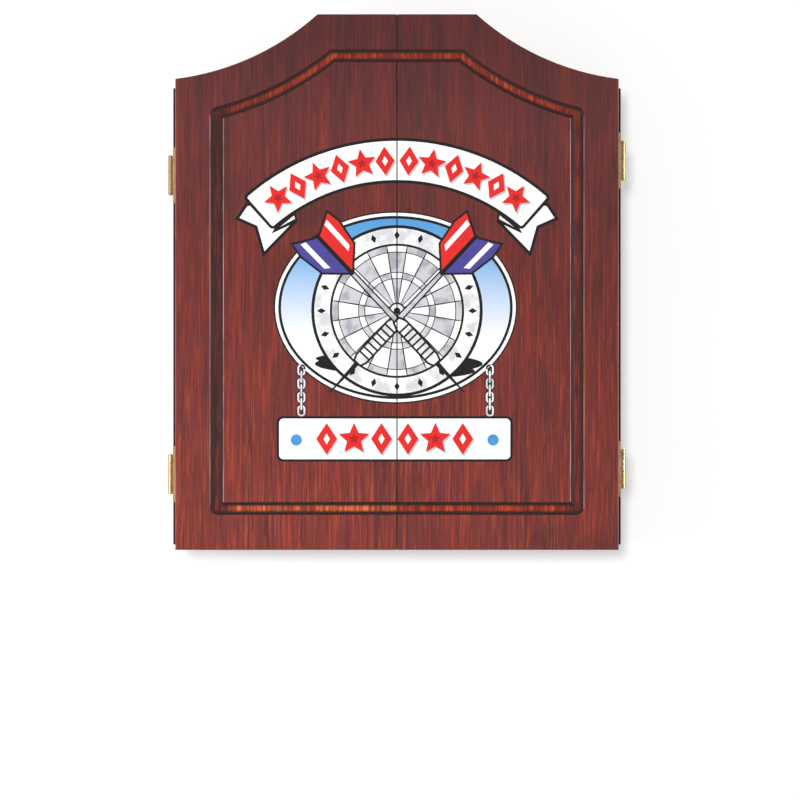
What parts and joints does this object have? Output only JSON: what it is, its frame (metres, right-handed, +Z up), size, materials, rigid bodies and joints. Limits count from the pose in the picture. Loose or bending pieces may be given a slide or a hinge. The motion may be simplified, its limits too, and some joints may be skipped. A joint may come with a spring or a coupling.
{
  "type": "dart board cabinet",
  "caption": "Shallow wooden wall box with arched double doors that swing open to show a bristle dart board and a chalk score board inside each door.",
  "frame": {"origin": "Middle of the four wall screw holes, on the wall plane and on the dart board's centre line", "axes": "+X to the viewer's right, +Y into the wall, +Z up"},
  "size_m": [0.5192, 0.0951, 0.606],
  "materials": {
    "box_wood": "dark stained, satin lacquer",
    "back_board": "dark mottled foil, matt",
    "nails": "dull steel",
    "brass": "bright brass plate",
    "brass_screws": "bright brass plate",
    "zinc_steel": "zinc plated",
    "door_wood": "mahogany stain, satin lacquer",
    "chalk_board": "green, matt, printed",
    "backing_board": "raw chipboard",
    "bristle": "dyed sisal end grain",
    "black_band": "satin black",
    "spider_wire": "drawn wire",
    "ring_wire": "drawn wire",
    "rubber": "matt"
  },
  "bodies": {
    "cabinet": {"left_side": "box_wood", "right_side": "box_wood", "top_board": "box_wood", "bottom_board": "box_wood", "back_panel": "back_board", "corner_nails": "nails", "back_tacks": "nails", "left_upper_box_leaf": "brass", "left_lower_box_leaf": "brass", "right_upper_box_leaf": "brass", "right_lower_box_leaf": "brass", "left_upper_hinge_pin": "brass", "left_lower_hinge_pin": "brass", "right_upper_hinge_pin": "brass", "right_lower_hinge_pin": "brass", "box_hinge_screws": "brass_screws", "hanging_bracket": "zinc_steel", "bracket_screws": "zinc_steel"},
    "left_door": {"left_door": "door_wood", "left_upper_door_leaf": "brass", "left_lower_door_leaf": "brass", "left_door_hinge_screws": "brass_screws", "left_score_board": "chalk_board", "left_score_board_screws": "brass_screws"},
    "right_door": {"right_door": "door_wood", "right_upper_door_leaf": "brass", "right_lower_door_leaf": "brass", "right_door_hinge_screws": "brass_screws", "right_score_board": "chalk_board", "right_score_board_screws": "brass_screws"},
    "dart_board": {"board_backing": "backing_board", "bristle_disc": "bristle", "board_band": "black_band", "radial_wires": "spider_wire", "double_ring_wires": "spider_wire", "triple_ring_wires": "spider_wire", "bull_rings": "spider_wire", "hanging_screw": "zinc_steel", "rubber_bumpers": "rubber", "number_ring_clips": "ring_wire"},
    "number_ring": {"number_ring": "ring_wire"}
  },
  "joints": [
    {"name": "left_door_swing", "type": "hinge", "parent": "cabinet", "child": "left_door", "pos_m": [-0.257, -0.0783, 0], "axis": [0, 0, -1], "range_deg": [0, 180]},
    {"name": "right_door_swing", "type": "hinge", "parent": "cabinet", "child": "right_door", "pos_m": [0.257, -0.0783, 0], "axis": [0, 0, 1], "range_deg": [0, 180]},
    {"name": "board_turn", "type": "hinge", "parent": "cabinet", "child": "dart_board", "pos_m": [0, -0.031, 0], "axis": [0, 1, 0], "continuous": true},
    {"name": "number_ring_turn", "type": "hinge", "parent": "dart_board", "child": "number_ring", "pos_m": [0, -0.05115, 0], "axis": [0, 1, 0], "continuous": true}
  ]
}
